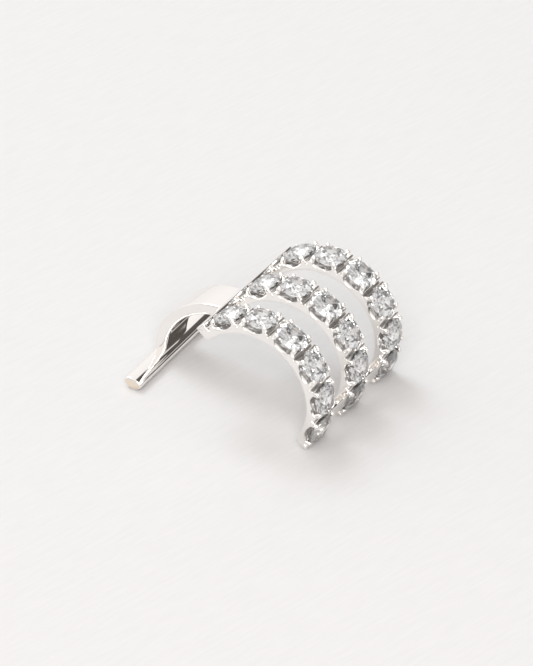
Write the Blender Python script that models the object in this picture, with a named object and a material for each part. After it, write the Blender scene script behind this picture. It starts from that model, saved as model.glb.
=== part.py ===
"""Ear cuff: three stone-set half hoops, a plain band and a resting bar."""
import math

import bpy
from mathutils import Matrix, Vector

# Driving dimensions in millimetres and degrees
MM = 0.001
ROW_NAMES = ("front", "middle", "back")
ROW_PITCH = 5.50
ROW_HALF_WIDTH = 1.45
INNER_R = 5.08
GIRDLE_R = 6.00

STONE_COUNT = 6
FIRST_STONE = 116.6
STONE_STEP = 27.3
STONE_R = 1.33
TABLE_R = 0.755
STAR_R = 1.065
LOWER_R = 0.34
GIRDLE_HALF = 0.05
CROWN = 0.38
PAVILION = 0.90
STONE_GAP = 0.045
HOLE_R = 0.55

LEFT_MARGIN = 2.40  # first stone's middle to the hoop's left end
RIGHT_MARGIN = 1.43  # last stone's middle to the tip
POST_DROP = 0.03
GROOVE_DEPTH = 0.30
GROOVE_HALF = 0.13
SCALLOP_HALF = 0.80
SCALLOP_DEPTH = 0.50
TIP_ROUND, TIP_FLARE, TIP_LIP = 0.50, 0.24, 0.28
# Drop from the lip's top and distance from the tip, round the lip
LIP_CURVE = ((-0.31, 0.33), (-0.14, 0.27), (-0.02, 0.17), (-0.01, 0.07), (-0.13, 0))
# Share of the flare and distance from the tip, under the tip
FLARE_CURVE = ((0.72, 1.0), (0.42, 1.4), (0.16, 1.8))
FLARE_LENGTH = 2.2

CLAW_R = 0.21
CLAW_INSET = 0.22  # claw middle in from the hoop's side, at its foot
CLAW_LEAN = 0.09
CLAW_ALONG = 0.94
CLAW_DEPTH = 0.40
CLAW_RISE = 0.14

LEFT_BAR_WIDTH, LEFT_BAR_THICK, LEFT_BAR_RISE = 0.80, 0.76, 0.38
RIGHT_BAR_WIDTH, RIGHT_BAR_THICK, RIGHT_BAR_RISE = 1.36, 0.60, 0.05
RIGHT_BAR_ANGLE = -15.8
BAR_BEVEL = 0.10

BAND_X, BAND_DROP = -5.79, 2.566  # band's centre from the hoop's
BAND_INNER, BAND_THICK = 4.69, 0.866
BAND_HALF_WIDTH = 1.70
BAND_TOP, BAND_FOOT = 92.9, 182.9
BEND_OVER, BEND_UNDER = 0.75, 1.00  # reach of the band's bend into the middle hoop
JOIN_OVER, JOIN_UNDER = 0.05, 0.07  # band's faces in from the hoop's
REST_OFFSET = 0.44  # resting bar's middle in from the band's foot
REST_WIDTH, REST_HEIGHT, REST_FLAT = 1.54, 0.84, 0.52
REST_BEVEL = 0.12

# Derived sizes
PITCH = math.radians(STONE_STEP) * GIRDLE_R
LAST_STONE = FIRST_STONE - STONE_STEP * (STONE_COUNT - 1)
LEFT_END = FIRST_STONE + math.degrees(LEFT_MARGIN / GIRDLE_R)
RIGHT_TIP = LAST_STONE - math.degrees(RIGHT_MARGIN / GIRDLE_R)
BAND_OUTER = BAND_INNER + BAND_THICK
REST_X = BAND_X - (BAND_INNER + BAND_OUTER) / 2 + REST_OFFSET
SIDE = ROW_PITCH * (len(ROW_NAMES) - 1) / 2 + ROW_HALF_WIDTH
SLOPE = PAVILION / STONE_R
RISE = CROWN / (STONE_R - TABLE_R)


def clear_scene():
    for obj in list(bpy.data.objects):
        bpy.data.objects.remove(obj, do_unlink=True)


def material(name, colour, metallic, roughness):
    mat = bpy.data.materials.new(name)
    mat.use_nodes = True
    shader = mat.node_tree.nodes["Principled BSDF"]
    shader.inputs["Base Color"].default_value = (*colour, 1.0)
    shader.inputs["Metallic"].default_value = metallic
    shader.inputs["Roughness"].default_value = roughness
    return mat


def solid(name, points, faces, mat=None):
    mesh = bpy.data.meshes.new(name)
    mesh.from_pydata([tuple(p) for p in points], [], faces)
    mesh.validate()
    obj = bpy.data.objects.new(name, mesh)
    bpy.context.scene.collection.objects.link(obj)
    if mat:
        mesh.materials.append(mat)
    return obj


def round_end():
    """Radius and angle pairs round the tip, from its outer lip to its inner edge."""
    high, low = GIRDLE_R + TIP_LIP, INNER_R + TIP_FLARE
    turn = math.degrees(1 / GIRDLE_R)
    points = [(high + drop, RIGHT_TIP + turn * along) for drop, along in LIP_CURVE]
    for step in range(6):
        a = math.pi / 2 * step / 5
        points.append((
            low + TIP_ROUND * (1 - math.sin(a)),
            RIGHT_TIP + turn * TIP_ROUND * 1.2 * (1 - math.cos(a)),
        ))
    for share, along in FLARE_CURVE:
        points.append((INNER_R + TIP_FLARE * share, RIGHT_TIP + turn * along))
    return points


CENTRE_Z = max(-r * math.sin(math.radians(a)) for r, a in round_end())
BAND_Z = CENTRE_Z - BAND_DROP


def polar(radius, degrees):
    a = math.radians(degrees)
    return radius * math.cos(a), CENTRE_Z + radius * math.sin(a)


def arc(cx, cz, radius, start, end, steps):
    angles = (math.radians(start + (end - start) * i / steps) for i in range(steps + 1))
    return [(cx + radius * math.cos(a), cz + radius * math.sin(a)) for a in angles]


def bend(start, heading, end, arrival, reach, steps):
    """A smooth path between two points with given headings, ends left out."""
    a, d = Vector(start), Vector(end)
    b = a + Vector(heading) * reach
    c = d - Vector(arrival) * reach * 0.6
    path = []
    for i in range(1, steps):
        t = i / steps
        p = a * (1 - t) ** 3 + b * 3 * t * (1 - t) ** 2 + c * 3 * t * t * (1 - t) + d * t ** 3
        path.append((p.x, p.y))
    return path


def prism(name, outline, y0, y1):
    """A closed x, z outline carried from y0 to y1."""
    area = sum(
        a[0] * b[1] - b[0] * a[1] for a, b in zip(outline, outline[1:] + outline[:1])
    )
    if area > 0:
        outline = outline[::-1]
    n = len(outline)
    points = [(x, y, z) for y in (y0, y1) for x, z in outline]
    faces = [tuple(reversed(range(n))), tuple(range(n, 2 * n))]
    faces += [(i, (i + 1) % n, n + (i + 1) % n, n + i) for i in range(n)]
    return solid(name, points, faces)


def lathe(name, profile, segments):
    """Radius and height pairs turned about z, from the lower pole to the upper."""
    points = [(0, 0, profile[0][1])]
    for radius, height in profile[1:-1]:
        for k in range(segments):
            a = 2 * math.pi * k / segments
            points.append((radius * math.cos(a), radius * math.sin(a), height))
    points.append((0, 0, profile[-1][1]))
    rings, last = len(profile) - 2, len(points) - 1
    faces = []
    for k in range(segments):
        after = (k + 1) % segments
        faces.append((0, 1 + after, 1 + k))
        faces.append((last, 1 + (rings - 1) * segments + k, 1 + (rings - 1) * segments + after))
        for ring in range(rings - 1):
            low, high = 1 + ring * segments, 1 + (ring + 1) * segments
            faces.append((low + k, low + after, high + after, high + k))
    return solid(name, points, faces)


def boolean(target, tool, operation):
    mod = target.modifiers.new(operation.lower(), "BOOLEAN")
    mod.operation = operation
    mod.solver = "MANIFOLD"
    mod.object = tool
    graph = bpy.context.evaluated_depsgraph_get()
    mesh = bpy.data.meshes.new_from_object(target.evaluated_get(graph))
    target.modifiers.remove(mod)
    target.data = mesh
    bpy.data.objects.remove(tool, do_unlink=True)


def join(objects):
    """One object from several that do not touch."""
    points, faces = [], []
    for obj in objects:
        start = len(points)
        points += [obj.matrix_world @ v.co for v in obj.data.vertices]
        faces += [tuple(start + i for i in f.vertices) for f in obj.data.polygons]
        bpy.data.objects.remove(obj, do_unlink=True)
    return solid("joined", points, faces)


def seat_frame(row, index):
    """Stone place: x along the hoop, y across it, z outwards."""
    a = math.radians(FIRST_STONE - STONE_STEP * index)
    c, s = math.cos(a), math.sin(a)
    frame = Matrix(((s, 0, c, 0), (0, 1, 0, 0), (-c, 0, s, 0), (0, 0, 0, 1)))
    frame.translation = (GIRDLE_R * c, row_y(row), CENTRE_Z + GIRDLE_R * s)
    return frame


def row_y(row):
    return (row - (len(ROW_NAMES) - 1) / 2) * ROW_PITCH


def place(obj, frame):
    obj.data.transform(frame)
    return obj


def cell_point(angle, along, height):
    return polar(GIRDLE_R + height, angle - math.degrees(along / GIRDLE_R))


def row_outline():
    """Hoop side view with a groove between seats and a scallop under each stone."""
    edge = PITCH / 2 - GROOVE_HALF
    top = GIRDLE_R + LEFT_BAR_RISE - BAR_BEVEL / 2
    outer = [
        polar(top, LEFT_END), polar(top, LEFT_END - math.degrees(LEFT_BAR_WIDTH / GIRDLE_R))
    ]
    for i in range(STONE_COUNT):
        angle = FIRST_STONE - STONE_STEP * i
        outer.append(cell_point(angle, -PITCH / 2, -GROOVE_DEPTH))
        outer.append(cell_point(angle, -edge, -POST_DROP))
        for step in range(11):
            t = math.pi * (1 - step / 10)
            outer.append(cell_point(
                angle, SCALLOP_HALF * math.cos(t), -POST_DROP - SCALLOP_DEPTH * math.sin(t)
            ))
        if i < STONE_COUNT - 1:
            outer.append(cell_point(angle, edge, -POST_DROP))
    tip = [polar(*point) for point in round_end()]
    start = RIGHT_TIP + math.degrees(FLARE_LENGTH / GIRDLE_R)
    return outer + tip + arc(0, CENTRE_Z, INNER_R, start, LEFT_END, 30)


def bar_outline(start, width, rise, thick):
    """A bar section across the hoops with its corners cut."""
    high, low = GIRDLE_R + rise, GIRDLE_R + rise - thick
    end = start + math.degrees(width / GIRDLE_R)
    d = math.degrees(BAR_BEVEL / GIRDLE_R)
    return [
        polar(low, start + d), polar(low + BAR_BEVEL, start), polar(high - BAR_BEVEL, start),
        polar(high, start + d), polar(high, end - d), polar(high - BAR_BEVEL, end),
        polar(low + BAR_BEVEL, end), polar(low, end - d),
    ]


def band_outline():
    """The plain band, rising at its top into the middle hoop's left end."""
    outer = arc(BAND_X, BAND_Z, BAND_OUTER, BAND_FOOT, BAND_TOP, 18)
    inner = arc(BAND_X, BAND_Z, BAND_INNER, BAND_TOP, BAND_FOOT, 18)
    a, b = math.radians(BAND_TOP), math.radians(LEFT_END)
    heading, arrival = (math.sin(a), -math.cos(a)), (math.sin(b), -math.cos(b))
    high = polar(GIRDLE_R - JOIN_OVER, LEFT_END - 0.8)
    low = polar(INNER_R + JOIN_UNDER, LEFT_END - 1.8)
    over = bend(outer[-1], heading, high, arrival, BEND_OVER, 7)
    under = bend(inner[0], heading, low, arrival, BEND_UNDER, 7)
    foot = [(inner[-1][0], REST_HEIGHT / 2), (outer[0][0], REST_HEIGHT / 2)]
    return outer + over + [high, low] + under[::-1] + inner + foot


def rest_section(inset):
    """Oval bar section with a narrow flat underneath."""
    middle, points = REST_HEIGHT / 2, []
    for k in range(28):
        a = 2 * math.pi * (k + 0.5) / 28
        x = (REST_WIDTH / 2 - inset) * math.copysign(abs(math.cos(a)) ** 0.8, math.cos(a))
        z = (middle - inset) * math.copysign(abs(math.sin(a)) ** 0.8, math.sin(a))
        points.append((x, z))
    flat = (REST_FLAT / 2) * (1 - inset / middle)
    top = [p for p in points if p[1] > 0 or abs(p[0]) > flat * 1.15]
    right = [p for p in top if p[1] < 0 < p[0]]
    left = [p for p in top if p[1] < 0 and p[0] < 0]
    upper = [p for p in top if p[1] > 0]
    low = inset - middle
    path = left + [(-flat, low), (flat, low)] + right + upper
    return [(REST_X + x, middle + z) for x, z in path]


def rest_bar():
    """The resting bar, its two ends rounded off."""
    stations = []
    for side in (-1, 1):
        ends = [(side * (SIDE - REST_BEVEL * (1 - math.sin(a))), REST_BEVEL * (1 - math.cos(a)))
                for a in (0, math.pi / 4, math.pi / 2)]
        stations += ends[::-1] if side < 0 else ends
    rings = [[(x, y, z) for x, z in rest_section(inset)] for y, inset in stations]
    n, points = len(rings[0]), [p for ring in rings for p in ring]
    faces = [tuple(range(n)), tuple(reversed(range(len(points) - n, len(points))))]
    for r in range(len(rings) - 1):
        low, high = r * n, (r + 1) * n
        faces += [(low + i, high + i, high + (i + 1) % n, low + (i + 1) % n) for i in range(n)]
    return solid("rest", points, faces)


def seat_cutter(frame):
    """The stone's own shape with a small gap, opened through to the inside."""
    low = GIRDLE_HALF + STONE_GAP * math.hypot(1, SLOPE)
    high = GIRDLE_HALF + STONE_GAP * math.hypot(1, RISE)
    wide = STONE_R + STONE_GAP
    deep = INNER_R - GIRDLE_R - 0.5
    profile = [
        (0, deep), (HOLE_R, deep), (HOLE_R, -low - (STONE_R - HOLE_R) * SLOPE),
        (wide, -low + STONE_GAP * SLOPE), (wide, high - STONE_GAP * RISE),
        (TABLE_R, high + CROWN), (0, high + CROWN),
    ]
    return place(lathe("cutter", profile, 16), frame)


def claw(frame, along, across):
    """A leaning post with a round tip."""
    y = ROW_HALF_WIDTH - CLAW_INSET
    foot = Vector((CLAW_ALONG * along, y * across, -CLAW_DEPTH))
    tip = Vector(((CLAW_ALONG - CLAW_LEAN) * along, (y - CLAW_LEAN) * across, CLAW_RISE))
    length = (tip - foot).length
    profile = [(0, 0), (CLAW_R, 0), (CLAW_R, length)]
    for degrees in (40, 70):
        a = math.radians(degrees)
        profile.append((CLAW_R * math.cos(a), length + CLAW_R * math.sin(a)))
    profile.append((0, length + CLAW_R))
    obj = lathe("claw", profile, 8)
    lean = (tip - foot).to_track_quat("Z", "Y").to_matrix().to_4x4()
    lean.translation = foot
    return place(place(obj, lean), frame)


def brilliant(name, frame, mat):
    """Round brilliant: table, stars, mains, halves, girdle and pavilion."""
    def at(radius, sixteenths, height):
        a = math.pi * sixteenths / 8
        return radius * math.cos(a), radius * math.sin(a), height

    half = math.cos(math.pi / 8)
    star_z = GIRDLE_HALF + (STONE_R - STAR_R * half) * RISE
    lower_z = -GIRDLE_HALF - (STONE_R - LOWER_R * half) * SLOPE
    points = [at(TABLE_R, 2 * k, GIRDLE_HALF + CROWN) for k in range(8)]
    points += [at(STAR_R, 2 * k + 1, star_z) for k in range(8)]
    points += [at(STONE_R, k, GIRDLE_HALF) for k in range(16)]
    points += [at(STONE_R, k, -GIRDLE_HALF) for k in range(16)]
    points += [at(LOWER_R, 2 * k + 1, lower_z) for k in range(8)]
    points.append((0, 0, -GIRDLE_HALF - PAVILION))
    star, top, bottom, lower, culet = 8, 16, 32, 48, 56
    faces = [tuple(range(8))]
    for k in range(8):
        n, a, b, c = (k + 1) % 8, 2 * k, 2 * k + 1, (2 * k + 2) % 16
        faces.append((k, star + k, n))
        faces.append((k, star + (k - 1) % 8, top + a, star + k))
        faces += [(star + k, top + a, top + b), (star + k, top + b, top + c)]
        faces += [(top + a, bottom + a, bottom + b, top + b)]
        faces += [(top + b, bottom + b, bottom + c, top + c)]
        faces += [(lower + k, bottom + b, bottom + a), (lower + k, bottom + c, bottom + b)]
        faces.append((culet, lower + k, bottom + a, lower + (k - 1) % 8))
    return place(solid(name, points, faces, mat), frame)


def build():
    clear_scene()
    metal = material("white_gold", (0.80, 0.79, 0.77), 1.0, 0.12)
    gem = material("diamond", (0.93, 0.94, 0.96), 0.0, 0.03)

    left_start = LEFT_END - math.degrees(LEFT_BAR_WIDTH / GIRDLE_R)
    right_start = RIGHT_BAR_ANGLE - math.degrees(RIGHT_BAR_WIDTH / GIRDLE_R) / 2
    left_bar = bar_outline(left_start, LEFT_BAR_WIDTH, LEFT_BAR_RISE, LEFT_BAR_THICK)
    right_bar = bar_outline(right_start, RIGHT_BAR_WIDTH, RIGHT_BAR_RISE, RIGHT_BAR_THICK)
    rows = range(len(ROW_NAMES))
    frame_solid = prism("metal_frame", left_bar, -SIDE + 0.03, SIDE - 0.03)
    parts = [prism("bar", right_bar, row_y(0), row_y(rows[-1]))]
    parts += [prism("band", band_outline(), -BAND_HALF_WIDTH, BAND_HALF_WIDTH), rest_bar()]
    for row in rows:
        y = row_y(row)
        parts.append(prism("row", row_outline(), y - ROW_HALF_WIDTH, y + ROW_HALF_WIDTH))
    for part in parts:
        boolean(frame_solid, part, "UNION")

    seats = [seat_frame(row, i) for row in rows for i in range(STONE_COUNT)]
    claws = [claw(seat, a, b) for seat in seats for a in (-1, 1) for b in (-1, 1)]
    boolean(frame_solid, join(claws), "UNION")
    boolean(frame_solid, join([seat_cutter(seat) for seat in seats]), "DIFFERENCE")
    frame_solid.data.materials.clear()
    frame_solid.data.materials.append(metal)

    nodes = [frame_solid]
    for n, seat in enumerate(seats):
        name = f"{ROW_NAMES[n // STONE_COUNT]}_row_stone_{n % STONE_COUNT + 1}"
        nodes.append(brilliant(name, seat, gem))
    xs = [v.co.x for node in nodes for v in node.data.vertices]
    centred = Matrix.Translation((-(min(xs) + max(xs)) / 2, 0, 0))
    for node in nodes:
        node.data.transform(Matrix.Scale(MM, 4) @ centred)


build()
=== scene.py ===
"""Looks of the ear cuff: polished white gold, brilliant-cut stones, pale laid paper."""
import itertools
import math

import bpy
import numpy as np
from mathutils import Matrix, Vector


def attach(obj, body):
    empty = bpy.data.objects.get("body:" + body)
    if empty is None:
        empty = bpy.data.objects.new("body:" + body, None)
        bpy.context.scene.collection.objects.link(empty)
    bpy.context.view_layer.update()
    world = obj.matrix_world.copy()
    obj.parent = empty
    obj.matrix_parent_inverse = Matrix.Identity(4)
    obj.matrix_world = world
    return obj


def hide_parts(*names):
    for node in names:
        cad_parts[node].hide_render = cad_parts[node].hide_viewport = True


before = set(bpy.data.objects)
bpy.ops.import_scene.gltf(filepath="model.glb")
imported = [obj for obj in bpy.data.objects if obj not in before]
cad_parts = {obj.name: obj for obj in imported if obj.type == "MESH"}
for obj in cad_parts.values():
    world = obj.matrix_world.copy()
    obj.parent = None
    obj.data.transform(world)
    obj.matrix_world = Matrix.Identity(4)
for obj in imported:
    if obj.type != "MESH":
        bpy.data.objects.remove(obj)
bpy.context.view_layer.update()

# Sizes of the frame in millimetres and degrees
MM = 0.001
ROW_NAMES = ("front", "middle", "back")
HOOP_X, HOOP_Z = 2.437, 3.4045
ROW_PITCH, ROW_HALF_WIDTH = 5.50, 1.45
INNER_R, GIRDLE_R = 5.08, 6.00
STONE_COUNT, FIRST_STONE, STONE_STEP = 6, 116.6, 27.3
STONE_R, PAVILION, GIRDLE_HALF = 1.33, 0.90, 0.05
STONE_GAP, HOLE_R = 0.03, 0.55
LEFT_MARGIN, RIGHT_MARGIN = 2.40, 1.43
POST_DROP = 0.07
GROOVE_DEPTH, GROOVE_HALF = 0.30, 0.13
SCALLOP_HALF, SCALLOP_DEPTH, SCALLOP_RISE = 0.90, 0.54, 0.50
TIP_ROUND, LEFT_ROUND = 0.50, 0.45
TIP_FLARE, FLARE_START, FLARE_RUN = 0.04, 2.10, 1.50
LIP_R, LIP_RISE, LIP_FILLET = 0.17, 0.10, 0.08
CLAW_R, CLAW_ALONG, CLAW_INSET = 0.21, 0.98, 0.22
CLAW_DEPTH, CLAW_RISE, CLAW_LEAN = 0.45, 0.08, 0.10
CLAW_FOOT, CLAW_CURVE = 0.96, 1.2  # foot's share of the radius, and the lean's power
SIDE = ROW_PITCH + ROW_HALF_WIDTH
LEFT_BAR = dict(width=0.80, thick=0.76, rise=0.38)
RIGHT_BAR = dict(width=1.36, thick=0.60, rise=0.05)
RIGHT_BAR_ANGLE = -15.8
BAR_INSET = 0.03  # left bar's ends short of the outer rows' sides
BAND_X, BAND_DROP = -5.79, 2.566
BAND_INNER, BAND_THICK, BAND_HALF_WIDTH = 4.60, 0.956, 1.70
BAND_TOP, BAND_FOOT = 92.9, 182.9
BEND_OVER, BEND_UNDER = 0.75, 1.00  # reach of the curves from the band to the middle row
BEND_ARRIVAL = 0.6  # share of that reach at the row
JOIN_OVER, JOIN_UNDER = 0.05, 0.07  # in from the girdle circle, and out from the row's inside
JOIN_OVER_TURN, JOIN_UNDER_TURN = 0.8, 1.8  # degrees in from the row's end
REST_OFFSET, REST_WIDTH, REST_HEIGHT, REST_BELLY = 0.40, 1.54, 0.92, 0.58
REST_TURN, REST_ROLL = 1.6, 10.0  # degrees from the hoops' line, and about its own length
REST_WIDE_POWER, REST_TALL_POWER = 0.90, 0.95  # under one squares the oval

# Sizes worked out from those above
PITCH = math.radians(STONE_STEP) * GIRDLE_R
SLOPE = PAVILION / STONE_R
LEFT_END = FIRST_STONE + math.degrees(LEFT_MARGIN / GIRDLE_R)
RIGHT_TIP = FIRST_STONE - STONE_STEP * (STONE_COUNT - 1) - math.degrees(RIGHT_MARGIN / GIRDLE_R)
ROW_LENGTH = math.radians(LEFT_END - RIGHT_TIP) * GIRDLE_R
BAND_OUTER = BAND_INNER + BAND_THICK
REST_X = BAND_X - (BAND_INNER + BAND_OUTER) / 2 + REST_OFFSET

# Soft edges of the polished metal
EDGE, INNER_EDGE, SEAT_EDGE = 0.05, 0.15, 0.035
GROOVE_EDGE, HOLE_EDGE = 0.08, 0.06
BAND_EDGE, BAND_DOME = 0.13, 0.05
BAR_EDGE, REST_EDGE = 0.10, 0.12
ROW_STEP = 0.046  # spacing of the row's mesh

# Patterns of the surfaces
POLISH_WAVES = 0.9  # to the millimetre
LINE_LENGTH, LINE_WIDTH, LINE_TURN = 3.0, 0.3, 76  # the paper's laid lines, and their slant

# The photograph's view
PIXELS_PER_MM, PICTURE_HEIGHT = 12.80, 666
VIEW_RIGHT, VIEW_BACK = (0.8698, 0.4915, 0.0441), (0.3946, -0.7463, 0.5360)
AIM_RIGHT, AIM_UP = -2.0, 1.469  # from the middle hoop's centre, in millimetres
CAMERA_DISTANCE = 0.400  # metres


def row_y(row):
    """A row's place across the cuff."""
    return (row - (len(ROW_NAMES) - 1) / 2) * ROW_PITCH


def linear(code):
    """An sRGB hex colour as linear red, green, blue and alpha."""
    parts = [int(code[i:i + 2], 16) / 255 for i in (1, 3, 5)]
    return *(c / 12.92 if c <= 0.04045 else ((c + 0.055) / 1.055) ** 2.4 for c in parts), 1.0


def add_node(tree, kind, inputs=(), **settings):
    """A new node; inputs maps a socket to a value or to another node's output."""
    made = tree.nodes.new(kind)
    for key, value in settings.items():
        setattr(made, key, value)
    for key, value in dict(inputs).items():
        if isinstance(value, bpy.types.NodeSocket):
            tree.links.new(value, made.inputs[key])
        else:
            made.inputs[key].default_value = value
    return made


def new_material(name):
    mat = bpy.data.materials.new(name)
    mat.use_nodes = True
    return mat, mat.node_tree, mat.node_tree.nodes["Principled BSDF"]


def polished_white_gold(name, colour):
    """Rhodium-plated white gold, mirror polished: pale warm grey with faint hand-polish waves."""
    mat, tree, shader = new_material(name)
    shader.inputs["Base Color"].default_value = linear(colour)
    shader.inputs["Metallic"].default_value = 1.0
    place = add_node(tree, "ShaderNodeTexCoord").outputs["Object"]
    waves = add_node(tree, "ShaderNodeTexNoise", {
        "Vector": place, "Scale": POLISH_WAVES / MM, "Detail": 2.0, "Roughness": 0.5})
    bump = add_node(tree, "ShaderNodeBump", {
        "Strength": 0.05, "Distance": 0.00003, "Height": waves.outputs["Fac"]})
    rough = add_node(tree, "ShaderNodeMapRange", {
        "Value": waves.outputs["Fac"], "To Min": 0.03, "To Max": 0.07})
    tree.links.new(bump.outputs["Normal"], shader.inputs["Normal"])
    tree.links.new(rough.outputs["Result"], shader.inputs["Roughness"])
    return mat


def diamond():
    """Cut and polished diamond: colourless, it bends and mirrors the light.

    A twentieth of plain white stands in for its finest sparkle.
    """
    mat, tree, shader = new_material("cut_diamond")
    shader.inputs["Base Color"].default_value = linear("#FFFFFF")
    shader.inputs["Roughness"].default_value = 0.0
    shader.inputs["Transmission Weight"].default_value = 0.95
    shader.inputs["IOR"].default_value = 2.417
    return mat


def laid_paper():
    """Matt uncoated paper with faint slanting laid lines."""
    mat, tree, shader = new_material("laid_paper")
    shader.inputs["Roughness"].default_value = 0.95
    shader.inputs["Specular IOR Level"].default_value = 0.1
    place = add_node(tree, "ShaderNodeTexCoord").outputs["Object"]
    turned = add_node(tree, "ShaderNodeMapping", {
        "Vector": place, "Rotation": (0, 0, math.radians(LINE_TURN)),
        "Scale": (LINE_LENGTH * MM, LINE_WIDTH * MM, 1.0)}, vector_type="TEXTURE")
    grain = add_node(tree, "ShaderNodeTexNoise", {
        "Vector": turned.outputs["Vector"], "Scale": 1.0, "Detail": 3.0})
    ramp = add_node(tree, "ShaderNodeMix", {
        "Factor": grain.outputs["Fac"], "A": linear("#CCCAC9"), "B": linear("#D4D2D1")},
        data_type="RGBA")
    bump = add_node(tree, "ShaderNodeBump", {
        "Strength": 0.08, "Distance": 0.0001, "Height": grain.outputs["Fac"]})
    tree.links.new(ramp.outputs["Result"], shader.inputs["Base Color"])
    tree.links.new(bump.outputs["Normal"], shader.inputs["Normal"])
    return mat


def new_piece(name, points, faces, *materials):
    """A smooth-shaded piece from millimetre points about the middle hoop's centre."""
    points = (np.asarray(points, float) + (HOOP_X, 0, HOOP_Z)) * MM
    mesh = bpy.data.meshes.new(name)
    mesh.from_pydata(points.tolist(), [], faces)
    mesh.update()
    mesh.shade_smooth()
    for mat in materials:
        mesh.materials.append(mat)
    obj = bpy.data.objects.new(name, mesh)
    bpy.context.scene.collection.objects.link(obj)
    return obj


# Distance fields: negative inside the metal
def round_max(a, b, radius):
    """Where both shapes are, with the edge between them rounded off."""
    return np.minimum(np.maximum(a, b), -radius) + np.hypot(
        np.maximum(a + radius, 0), np.maximum(b + radius, 0))


def round_min(a, b, radius):
    """Both shapes together, with a fillet where they meet."""
    return np.maximum(np.minimum(a, b), radius) - np.hypot(
        np.maximum(radius - a, 0), np.maximum(radius - b, 0))


def row_field(s, h, y):
    """One stone row laid out flat: s from its tip, h out from the girdle circle, y across."""
    side = np.abs(y) - ROW_HALF_WIDTH
    flare = TIP_FLARE * np.clip((FLARE_START - s) / FLARE_RUN, 0, 1) ** 1.5
    under = INNER_R - GIRDLE_R + flare - h
    above = h + POST_DROP
    body = round_max(round_max(under, -s, TIP_ROUND), s - ROW_LENGTH, LEFT_ROUND)
    body = round_max(round_max(body, side, INNER_EDGE), above, EDGE)
    lip = np.hypot(s - LIP_R, h - LIP_RISE) - LIP_R
    body = round_min(body, round_max(lip, side, EDGE), LIP_FILLET)

    # Crescents beside the stones, their floors falling to the row's sides
    cell = np.clip(np.round((s - RIGHT_MARGIN) / PITCH), 0, STONE_COUNT - 1)
    along = s - RIGHT_MARGIN - cell * PITCH
    turn = along / GIRDLE_R
    out = (GIRDLE_R + h) * np.cos(turn) - GIRDLE_R
    radius = np.hypot((GIRDLE_R + h) * np.sin(turn), y)
    ledge = above - SCALLOP_RISE * (ROW_HALF_WIDTH - np.abs(y))
    u, v = along / SCALLOP_HALF, ledge / SCALLOP_DEPTH
    size = np.hypot(u, v)
    scallop = size * (size - 1) / np.maximum(
        np.hypot(u / SCALLOP_HALF, v / SCALLOP_DEPTH), 1e-6)
    body = round_max(body, -scallop, EDGE)

    # Grooves across the row between stones
    gap = np.clip(np.floor((s - RIGHT_MARGIN) / PITCH), 0, STONE_COUNT - 1) + 0.5
    off = np.abs(s - RIGHT_MARGIN - gap * PITCH)
    lean = GROOVE_HALF / GROOVE_DEPTH
    groove = (off - (above + GROOVE_DEPTH) * lean) / math.hypot(1, lean)
    body = round_max(body, -groove, GROOVE_EDGE)

    # A seat for each stone, with a hole through its bottom
    cone = (-GIRDLE_HALF - (STONE_R - radius) * SLOPE - out) / math.hypot(1, SLOPE)
    seat = np.maximum(cone - STONE_GAP, radius - STONE_R - STONE_GAP)
    body = round_max(body, -seat, SEAT_EDGE)
    return round_max(body, HOLE_R - radius, HOLE_EDGE)


def surface_net(field):
    """Corner points, in grid steps, and quads round the zero level of a sampled field."""
    inside = field < 0
    cells_shape = [n - 1 for n in field.shape]

    def shifted(array, offset):
        return array[tuple(slice(o, o + n) for o, n in zip(offset, cells_shape))]

    corners = sum(shifted(inside, c).astype(int) for c in itertools.product((0, 1), repeat=3))
    crossed = (corners > 0) & (corners < 8)
    count = int(crossed.sum())
    number = np.full(cells_shape, -1)
    number[crossed] = np.arange(count)
    total, hits = np.zeros((count, 3)), np.zeros((count, 1))
    quads = []
    for axis in range(3):
        p, q = [k for k in range(3) if k != axis]
        for i, j in itertools.product((0, 1), repeat=2):
            start = [0, 0, 0]
            start[p], start[q] = i, j
            end = list(start)
            end[axis] = 1
            f0, f1 = shifted(field, start)[crossed], shifted(field, end)[crossed]
            hit = (f0 < 0) != (f1 < 0)
            place = np.zeros((count, 3))
            place[:, p], place[:, q] = i, j
            place[:, axis] = np.where(hit, f0 / np.where(hit, f0 - f1, 1), 0)
            total += place * hit[:, None]
            hits += hit[:, None]
        low = [slice(1, -1)] * 3
        low[axis] = slice(0, -1)
        high = list(low)
        high[axis] = slice(1, None)
        starts = inside[tuple(low)]
        edge = np.argwhere(starts != inside[tuple(high)])
        outward = starts[tuple(edge.T)] == (axis != 1)
        edge[:, p] += 1
        edge[:, q] += 1
        ring = []
        for i, j in ((-1, -1), (0, -1), (0, 0), (-1, 0)):
            cell = edge.copy()
            cell[:, p] += i
            cell[:, q] += j
            ring.append(number[tuple(cell.T)])
        quad = np.stack(ring, axis=1)
        quads.append(np.where(outward[:, None], quad, quad[:, ::-1]))
    return np.argwhere(crossed) + total / hits, np.concatenate(quads)


def settle(points, field, reach):
    """Moves each point onto the zero level along the field's slope."""
    small = 1e-4
    value = field(*points.T)
    slope = np.stack([
        (field(*(points + step).T) - field(*(points - step).T)) / (2 * small)
        for step in np.eye(3) * small], axis=1)
    move = value / np.maximum((slope ** 2).sum(axis=1), 0.2)
    return points - slope * np.clip(move, -reach, reach)[:, None]


def relax(points, quads):
    """Evens out the quads: each point goes halfway to the middle of its neighbours."""
    total, links = np.zeros_like(points), np.zeros(len(points))
    for k in range(4):
        a, b = quads[:, k], quads[:, (k + 1) % 4]
        for here, there in ((a, b), (b, a)):
            links += np.bincount(here, minlength=len(points))
            for axis in range(3):
                total[:, axis] += np.bincount(here, points[there, axis], len(points))
    return (points + total / links[:, None]) / 2


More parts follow.
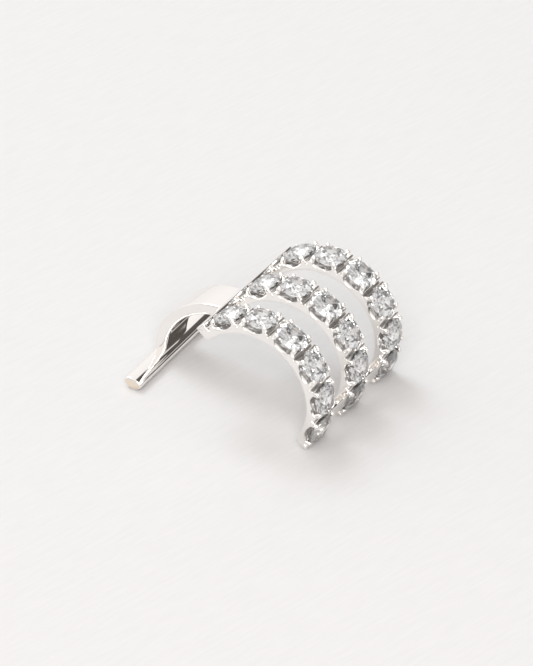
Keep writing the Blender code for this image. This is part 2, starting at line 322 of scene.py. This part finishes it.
def row_mesh():
    """Points and quads of one stone row, bent round the hoop."""
    low = np.array([-0.1, INNER_R - GIRDLE_R - 0.1, -ROW_HALF_WIDTH - 0.1])
    high = np.array([ROW_LENGTH + 0.1, 0.4, ROW_HALF_WIDTH + 0.1])
    axes = [np.arange(a, b + ROW_STEP, ROW_STEP) for a, b in zip(low, high)]
    points, quads = surface_net(row_field(*np.meshgrid(*axes, indexing="ij")))
    points = low + points * ROW_STEP
    for _ in range(3):
        points = settle(relax(points, quads), row_field, ROW_STEP / 2)
    for _ in range(2):
        points = settle(points, row_field, ROW_STEP / 2)
    angle = math.radians(RIGHT_TIP) + points[:, 0] / GIRDLE_R
    radius = GIRDLE_R + points[:, 1]
    bent = np.stack([radius * np.cos(angle), points[:, 2], radius * np.sin(angle)], axis=1)
    return bent, quads.tolist()


def polar(radius, degrees, x=0.0, z=0.0):
    """The x and z of a point on a circle round x, z."""
    a = math.radians(degrees)
    return x + radius * math.cos(a), z + radius * math.sin(a)


def arc(x, z, radius, start, end, steps):
    return [polar(radius, start + (end - start) * i / steps, x, z) for i in range(steps + 1)]


def round_corners(outline, radius, steps=5):
    """Each corner of a closed outline swapped for a short curve."""
    soft, n = [], len(outline)
    for i in range(n):
        before, here, after = (Vector(outline[k % n]) for k in (i - 1, i, i + 1))
        a = here + (before - here).normalized() * radius
        b = here + (after - here).normalized() * radius
        for k in range(steps + 1):
            t = k / steps
            soft.append(tuple(a * (1 - t) ** 2 + here * 2 * t * (1 - t) + b * t * t))
    return soft


def outline_normals(outline):
    """Outward unit normals of a closed, anticlockwise outline."""
    flat = np.asarray(outline)
    ahead, behind = np.roll(flat, -1, axis=0) - flat, flat - np.roll(flat, 1, axis=0)
    ahead /= np.linalg.norm(ahead, axis=1)[:, None]
    behind /= np.linalg.norm(behind, axis=1)[:, None]
    normal = np.stack([(ahead + behind)[:, 1], -(ahead + behind)[:, 0]], axis=1)
    return normal / np.linalg.norm(normal, axis=1)[:, None]


def soft_prism(name, outline, y0, y1, edge, *materials, dome=None):
    """An x, z outline carried across from y0 to y1, end edges rounded, swollen by dome."""
    flat = np.asarray(outline)
    area = (flat[:, 0] * np.roll(flat[:, 1], -1) - np.roll(flat[:, 0], -1) * flat[:, 1]).sum()
    if area < 0:
        flat = flat[::-1]
        dome = None if dome is None else dome[::-1]
    normal = outline_normals(flat)
    turns = [math.pi / 2 * k / 6 for k in range(7)]
    stations = [(y0 + edge * (1 - math.sin(a)), edge * (1 - math.cos(a))) for a in turns[::-1]]
    middle = np.linspace(y0 + edge, y1 - edge, 13)[1:-1]
    stations += [(y, 0.0) for y in middle]
    stations += [(y1 - edge * (1 - math.sin(a)), edge * (1 - math.cos(a))) for a in turns]
    rings = []
    for y, inset in stations:
        swell = 0.0
        if dome is not None:
            share = (2 * y - y0 - y1) / (y1 - y0)
            swell = (np.asarray(dome) * (1 - share ** 2))[:, None]
        ring = flat - normal * inset + normal * swell
        rings.append([(x, y, z) for x, z in ring])
    n = len(flat)
    points = [p for ring in rings for p in ring]
    faces = [tuple(range(n)), tuple(reversed(range(len(points) - n, len(points))))]
    for r, k in itertools.product(range(len(rings) - 1), range(n)):
        a, b = r * n + k, r * n + (k + 1) % n
        faces.append((b, a, a + n, b + n))
    return new_piece(name, points, faces, *materials)


def bar_outline(start, width, thick, rise):
    """A bar across the hoops, seen from its end."""
    high, low = GIRDLE_R + rise, GIRDLE_R + rise - thick
    end = start + math.degrees(width / GIRDLE_R)
    corners = [polar(low, start), polar(high, start), polar(high, end), polar(low, end)]
    return round_corners(corners, BAR_EDGE)


def bend(start, heading, end, arrival, reach, steps):
    """A smooth path between two points with given headings, ends left out."""
    a, d = Vector(start), Vector(end)
    b, c = a + Vector(heading) * reach, d - Vector(arrival) * reach * BEND_ARRIVAL
    shares = (i / steps for i in range(1, steps))
    return [tuple(a * (1 - t) ** 3 + b * 3 * t * (1 - t) ** 2 + c * 3 * t * t * (1 - t)
                  + d * t ** 3) for t in shares]


def band_outline():
    """The plain band from its foot over its top into the middle row, and its doming."""
    outer = arc(BAND_X, -BAND_DROP, BAND_OUTER, BAND_FOOT, BAND_TOP, 60)
    inner = arc(BAND_X, -BAND_DROP, BAND_INNER, BAND_TOP, BAND_FOOT, 60)
    a, b = math.radians(BAND_TOP), math.radians(LEFT_END)
    heading, arrival = (math.sin(a), -math.cos(a)), (math.sin(b), -math.cos(b))
    high = polar(GIRDLE_R - JOIN_OVER, LEFT_END - JOIN_OVER_TURN)
    low = polar(INNER_R + JOIN_UNDER, LEFT_END - JOIN_UNDER_TURN)
    over = bend(outer[-1], heading, high, arrival, BEND_OVER, 16)
    under = bend(inner[0], heading, low, arrival, BEND_UNDER, 16)
    foot_z = REST_HEIGHT / 2 - HOOP_Z
    foot = [(inner[-1][0], foot_z), (outer[0][0], foot_z)]
    outline = outer + over + [high, low] + under[::-1] + inner + foot
    dome = [BAND_DOME] * len(outer) + [0.0] * (len(outline) - len(outer))
    for k, share in enumerate(np.linspace(1, 0, len(over) + 2)[1:-1]):
        dome[len(outer) + k] = BAND_DOME * share
    return outline, dome


def rest_section():
    """The resting bar's section: a shallow crown over a deep round belly, rolled over."""
    outline, roll = [], math.radians(REST_ROLL)
    for k in range(120):
        a = 2 * math.pi * (k + 0.5) / 120
        tall = REST_HEIGHT - REST_BELLY if math.sin(a) > 0 else REST_BELLY
        wide = REST_WIDTH / 2
        x = wide * math.copysign(abs(math.cos(a)) ** REST_WIDE_POWER, math.cos(a))
        z = tall * math.copysign(abs(math.sin(a)) ** REST_TALL_POWER, math.sin(a))
        outline.append((x * math.cos(roll) + z * math.sin(roll),
                        z * math.cos(roll) - x * math.sin(roll)))
    low = min(z for _, z in outline)
    return [(REST_X + x, z - low - HOOP_Z) for x, z in outline]


def new_claw():
    """A round post leaning along x, with a domed tip, about the girdle plane."""
    rings, segments = [], 16
    heights = np.linspace(-CLAW_DEPTH, CLAW_RISE, 6)
    sizes = [(z, CLAW_R * (CLAW_FOOT + (1 - CLAW_FOOT) * k / 5))
             for k, z in enumerate(heights)]
    sizes += [(CLAW_RISE + CLAW_R * math.sin(a), CLAW_R * math.cos(a))
              for a in (math.pi / 2 * k / 7 for k in range(1, 7))]
    for z, radius in sizes:
        share = (z + CLAW_DEPTH) / (CLAW_RISE + CLAW_DEPTH)
        shift = CLAW_LEAN * share ** CLAW_CURVE
        rings.append([(shift + radius * math.cos(a), radius * math.sin(a), z)
                      for a in (2 * math.pi * k / segments for k in range(segments))])
    points = [p for ring in rings for p in ring]
    top_share = (CLAW_RISE + CLAW_R + CLAW_DEPTH) / (CLAW_RISE + CLAW_DEPTH)
    points.append((CLAW_LEAN * top_share ** CLAW_CURVE, 0, CLAW_RISE + CLAW_R))
    faces = [tuple(reversed(range(segments)))]
    for r, k in itertools.product(range(len(rings) - 1), range(segments)):
        a, b = r * segments + k, r * segments + (k + 1) % segments
        faces.append((a, b, b + segments, a + segments))
    last = (len(rings) - 1) * segments
    faces += [(last + k, last + (k + 1) % segments, len(points) - 1) for k in range(segments)]
    mesh = bpy.data.meshes.new("claw")
    mesh.from_pydata((np.array(points) * MM).tolist(), [], faces)
    mesh.shade_smooth()
    obj = bpy.data.objects.new("claw", mesh)
    bpy.context.scene.collection.objects.link(obj)
    return obj


def claws_tree():
    """Four claws round each stone place, set out along a hoop."""
    tree = bpy.data.node_groups.new("claws_along_hoop", "GeometryNodeTree")
    for name, kind in (
        ("Claw", "Object"), ("Stones", "Int"), ("First Angle", "Float"),
        ("Step Angle", "Float"), ("Radius", "Float"), ("Along", "Float"), ("Across", "Float"),
        ("Centre", "Vector"), ("Metal", "Material"),
    ):
        tree.interface.new_socket(name, in_out="INPUT", socket_type=f"NodeSocket{kind}")
    tree.interface.new_socket("Geometry", in_out="OUTPUT", socket_type="NodeSocketGeometry")
    given = add_node(tree, "NodeGroupInput").outputs

    # A claw's number gives its stone, and its signs along and across the row
    index = add_node(tree, "GeometryNodeInputIndex").outputs[0]
    fours = add_node(tree, "ShaderNodeMath", {0: index, 1: 4.0}, operation="DIVIDE")
    stone = add_node(tree, "ShaderNodeMath", {0: fours.outputs[0]}, operation="FLOOR")
    odd = add_node(tree, "ShaderNodeMath", {0: index, 1: 2.0}, operation="MODULO")
    ahead = add_node(tree, "ShaderNodeMath", {
        0: odd.outputs[0], 1: 2.0, 2: -1.0}, operation="MULTIPLY_ADD").outputs[0]
    twos = add_node(tree, "ShaderNodeMath", {0: index, 1: 2.0}, operation="DIVIDE")
    pair = add_node(tree, "ShaderNodeMath", {0: twos.outputs[0]}, operation="FLOOR")
    odd_pair = add_node(tree, "ShaderNodeMath", {
        0: pair.outputs[0], 1: 2.0}, operation="MODULO")
    aside = add_node(tree, "ShaderNodeMath", {
        0: odd_pair.outputs[0], 1: 2.0, 2: -1.0}, operation="MULTIPLY_ADD").outputs[0]

    # Its place round its stone, turned to the stone's place on the hoop
    steps = add_node(tree, "ShaderNodeMath", {
        0: stone.outputs[0], 1: given["Step Angle"]}, operation="MULTIPLY")
    angle = add_node(tree, "ShaderNodeMath", {
        0: given["First Angle"], 1: steps.outputs[0]}, operation="SUBTRACT")
    tilt = add_node(tree, "ShaderNodeMath", {
        0: math.pi / 2, 1: angle.outputs[0]}, operation="SUBTRACT").outputs[0]
    along = add_node(tree, "ShaderNodeMath", {
        0: given["Along"], 1: ahead}, operation="MULTIPLY")
    across = add_node(tree, "ShaderNodeMath", {
        0: given["Across"], 1: aside}, operation="MULTIPLY")
    local = add_node(tree, "ShaderNodeCombineXYZ", {
        "X": along.outputs[0], "Y": across.outputs[0], "Z": given["Radius"]})
    turned = add_node(tree, "ShaderNodeVectorRotate", {
        "Vector": local.outputs[0], "Axis": (0, 1, 0), "Angle": tilt},
        rotation_type="AXIS_ANGLE")
    place = add_node(tree, "ShaderNodeVectorMath", {
        0: turned.outputs[0], 1: given["Centre"]}, operation="ADD")

    # Standing outward from the hoop and leaning over its stone
    back = add_node(tree, "ShaderNodeMath", {0: ahead, 1: -1.0}, operation="MULTIPLY")
    inner = add_node(tree, "ShaderNodeMath", {0: aside, 1: -1.0}, operation="MULTIPLY")
    spin = add_node(tree, "ShaderNodeMath", {
        0: inner.outputs[0], 1: back.outputs[0]}, operation="ARCTAN2")
    outward = add_node(tree, "FunctionNodeAxisAngleToRotation", {
        "Axis": (0, 1, 0), "Angle": tilt})
    inward = add_node(tree, "FunctionNodeAxisAngleToRotation", {
        "Axis": (0, 0, 1), "Angle": spin.outputs[0]})
    rotation = add_node(tree, "FunctionNodeRotateRotation", {
        "Rotation": outward.outputs[0], "Rotate By": inward.outputs[0]},
        rotation_space="LOCAL")

    count = add_node(tree, "ShaderNodeMath", {
        0: given["Stones"], 1: 4.0}, operation="MULTIPLY")
    dots = add_node(tree, "GeometryNodePoints", {
        "Count": count.outputs[0], "Position": place.outputs[0]})
    shape = add_node(tree, "GeometryNodeObjectInfo", {"Object": given["Claw"]})
    copies = add_node(tree, "GeometryNodeInstanceOnPoints", {
        "Points": dots.outputs[0], "Instance": shape.outputs["Geometry"],
        "Rotation": rotation.outputs[0]})
    real = add_node(tree, "GeometryNodeRealizeInstances", {"Geometry": copies.outputs[0]})
    dressed = add_node(tree, "GeometryNodeSetMaterial", {
        "Geometry": real.outputs[0], "Material": given["Metal"]})
    add_node(tree, "NodeGroupOutput", {"Geometry": dressed.outputs[0]})
    return tree


def grown(name, tree, values):
    """A plain mesh piece from a geometry tree and its named inputs."""
    holder = bpy.data.objects.new(name, bpy.data.meshes.new(name))
    bpy.context.scene.collection.objects.link(holder)
    mod = holder.modifiers.new("grow", "NODES")
    mod.node_group = tree
    for item in tree.interface.items_tree:
        if item.item_type == "SOCKET" and item.in_out == "INPUT":
            mod[item.identifier] = values[item.name]
    graph = bpy.context.evaluated_depsgraph_get()
    mesh = bpy.data.meshes.new_from_object(holder.evaluated_get(graph))
    holder.modifiers.remove(mod)
    holder.data = mesh
    return holder


def add_metal(gold, end_reflection_gold):
    """Every metal piece of the cuff."""
    points, quads = row_mesh()
    claw, tree, made = new_claw(), claws_tree(), []
    for row, name in enumerate(ROW_NAMES):
        shifted = points + (0, row_y(row), 0)
        made.append(new_piece(f"{name}_row", shifted, quads, gold))
        made.append(grown(f"{name}_row_claws", tree, {
            "Claw": claw, "Stones": STONE_COUNT, "Metal": gold,
            "First Angle": math.radians(FIRST_STONE), "Step Angle": math.radians(STONE_STEP),
            "Radius": GIRDLE_R * MM, "Along": CLAW_ALONG * MM,
            "Across": (ROW_HALF_WIDTH - CLAW_INSET) * MM,
            "Centre": (HOOP_X * MM, row_y(row) * MM, HOOP_Z * MM)}))
    bpy.data.objects.remove(claw, do_unlink=True)

    outline, dome = band_outline()
    made.append(soft_prism(
        "band", outline, -BAND_HALF_WIDTH, BAND_HALF_WIDTH, BAND_EDGE, gold, dome=dome))
    left_start = LEFT_END - math.degrees(LEFT_BAR["width"] / GIRDLE_R)
    made.append(soft_prism(
        "left_bar", bar_outline(left_start, **LEFT_BAR), -SIDE + BAR_INSET, SIDE - BAR_INSET,
        BAR_EDGE, gold))
    right_start = RIGHT_BAR_ANGLE - math.degrees(RIGHT_BAR["width"] / GIRDLE_R) / 2
    made.append(soft_prism(
        "right_bar", bar_outline(right_start, **RIGHT_BAR), row_y(0), row_y(2),
        BAR_EDGE, gold))

    # The resting bar is turned a little where it lies, and its cut ends take a warmer colour: a
    # painted reflection of the warm shaded paper beside them
    rest = soft_prism("rest_bar", rest_section(), -SIDE, SIDE, REST_EDGE, gold, end_reflection_gold)
    pivot = Vector(((HOOP_X + REST_X) * MM, 0, 0))
    turn = Matrix.Rotation(math.radians(REST_TURN), 4, "Z")
    rest.data.transform(Matrix.Translation(pivot) @ turn @ Matrix.Translation(-pivot))
    # Its end faces take the warmer colour, a painted reflection of the shaded paper
    for face in rest.data.polygons:
        if len(face.vertices) > 4:
            face.material_index = 1
    made.append(rest)
    for piece in made:
        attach(piece, "root")
        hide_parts("metal_frame")


def add_stones(gem):
    for name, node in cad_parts.items():
        if "stone" in name:
            node.data.materials.clear()
            node.data.materials.append(gem)


def add_floor(paper):
    mesh = bpy.data.meshes.new("paper_floor")
    half, drop = 1.5, -0.00001
    corners = [(-half, -half, drop), (half, -half, drop), (half, half, drop), (-half, half, drop)]
    mesh.from_pydata(corners, [], [(0, 1, 2, 3)])
    mesh.materials.append(paper)
    floor = bpy.data.objects.new("paper_floor", mesh)
    bpy.context.scene.collection.objects.link(floor)


def add_camera():
    """The photograph's view, from a long lens well back."""
    right, back = Vector(VIEW_RIGHT).normalized(), Vector(VIEW_BACK).normalized()
    up = back.cross(right).normalized()
    right = up.cross(back)
    hoop = Vector((HOOP_X, 0, HOOP_Z)) * MM
    aim = hoop + right * AIM_RIGHT * MM + up * AIM_UP * MM
    place = aim + back * CAMERA_DISTANCE
    data = bpy.data.cameras.new("camera")
    data.type = "PERSP"
    data.sensor_width = 36.0
    data.lens = data.sensor_width * PIXELS_PER_MM / PICTURE_HEIGHT * CAMERA_DISTANCE / MM
    data.clip_start, data.clip_end = 0.01, 10.0
    camera = bpy.data.objects.new("camera", data)
    bpy.context.scene.collection.objects.link(camera)
    camera.matrix_world = Matrix((
        (right.x, up.x, back.x, place.x), (right.y, up.y, back.y, place.y),
        (right.z, up.z, back.z, place.z), (0, 0, 0, 1)))
    bpy.context.scene.camera = camera


def share_between(tree, value, low, high, soft):
    """One from low to high degrees, falling to nothing within soft of either end."""
    low, high, soft = (math.radians(a) for a in (low, high, soft))
    rise = add_node(tree, "ShaderNodeMapRange", {
        "Value": value, "From Min": low - soft, "From Max": low}, interpolation_type="SMOOTHSTEP")
    fall = add_node(tree, "ShaderNodeMapRange", {
        "Value": value, "From Min": high + soft, "From Max": high},
        interpolation_type="SMOOTHSTEP")
    return add_node(tree, "ShaderNodeMath", {
        0: rise.outputs["Result"], 1: fall.outputs["Result"]}, operation="MULTIPLY").outputs[0]


def add_light():
    """A white room with two soft lamps, a shaded side and three dark patches to mirror."""
    world = bpy.data.worlds.new("studio")
    bpy.context.scene.world = world
    world.use_nodes = True
    tree = world.node_tree
    background = tree.nodes["Background"]
    aim = add_node(tree, "ShaderNodeTexCoord").outputs["Generated"]
    part = add_node(tree, "ShaderNodeSeparateXYZ", {0: aim}).outputs
    compass = add_node(tree, "ShaderNodeMath", {0: part["X"], 1: part["Y"]},
                       operation="ARCTAN2").outputs[0]
    height = add_node(tree, "ShaderNodeMath", {0: part["Z"]}, operation="ARCSINE").outputs[0]

    # A half-dark band low in front
    toward = add_node(tree, "ShaderNodeVectorMath", {
        0: aim, 1: (0.55, -0.835, 0.0)}, operation="DOT_PRODUCT").outputs["Value"]
    near = add_node(tree, "ShaderNodeMapRange", {
        "Value": toward, "From Min": 0.1, "From Max": 0.5, "To Max": 0.7},
        interpolation_type="SMOOTHSTEP").outputs["Result"]
    dark = add_node(tree, "ShaderNodeMath", {
        0: near, 1: share_between(tree, height, 4, 20, 4)}, operation="MULTIPLY").outputs[0]

    # Two dark panels behind, each from left to right and from low to high in degrees
    for left, right, low, high in ((-6, 22, 26, 54), (27, 40, 16, 29)):
        panel = add_node(tree, "ShaderNodeMath", {
            0: share_between(tree, compass, left, right, 4),
            1: share_between(tree, height, low, high, 4)}, operation="MULTIPLY").outputs[0]
        dark = add_node(tree, "ShaderNodeMath", {
            0: panel, 1: dark}, operation="MAXIMUM").outputs[0]

    # The room is a little dimmer low down and on its right
    sky = add_node(tree, "ShaderNodeMapRange", {
        "Value": height, "From Min": 0.0, "From Max": math.radians(30),
        "To Min": 0.92, "To Max": 1.00}, interpolation_type="SMOOTHSTEP")
    leftward = add_node(tree, "ShaderNodeVectorMath", {
        0: aim, 1: (-0.97, -0.22, 0.0)}, operation="DOT_PRODUCT").outputs["Value"]
    side = add_node(tree, "ShaderNodeMapRange", {
        "Value": leftward, "From Min": -0.8, "From Max": 0.4,
        "To Min": 0.86, "To Max": 1.05}, interpolation_type="SMOOTHSTEP")
    strength = add_node(tree, "ShaderNodeMath", {
        0: sky.outputs["Result"], 1: side.outputs["Result"]}, operation="MULTIPLY")
    mix = add_node(tree, "ShaderNodeMix", {
        "Factor": dark, "A": (1.0, 0.98, 0.965, 1.0), "B": (0.110, 0.100, 0.092, 1.0)},
        data_type="RGBA")
    tree.links.new(mix.outputs["Result"], background.inputs["Color"])
    tree.links.new(strength.outputs[0], background.inputs["Strength"])

    # Both lamps face the cuff
    for name, place, size, energy, colour in (
        ("window", (-0.29, 0.15, 0.43), 0.22, 1.05, (0.86, 0.94, 1.0)),
        ("front_card", (0.26, -0.52, 0.42), 0.40, 2.90, (1.0, 0.99, 0.98)),
    ):
        data = bpy.data.lights.new(name, "AREA")
        data.size, data.energy, data.color = size, energy, colour
        lamp = bpy.data.objects.new(name, data)
        bpy.context.scene.collection.objects.link(lamp)
        lamp.location = place
        lamp.rotation_mode = "QUATERNION"
        lamp.rotation_quaternion = lamp.location.to_track_quat("Z", "Y")


# The resting bar's cut ends are tinted warmer than the rest of the metal: a painted reflection of
# the warm shaded paper beside them
gold = polished_white_gold("polished_white_gold", "#F6F3F0")
end_reflection_gold = polished_white_gold("painted_reflection_end", "#EFE3D3")
add_metal(gold, end_reflection_gold)
add_stones(diamond())
add_floor(laid_paper())
add_camera()
add_light()
bpy.context.scene.view_settings.view_transform = "Standard"
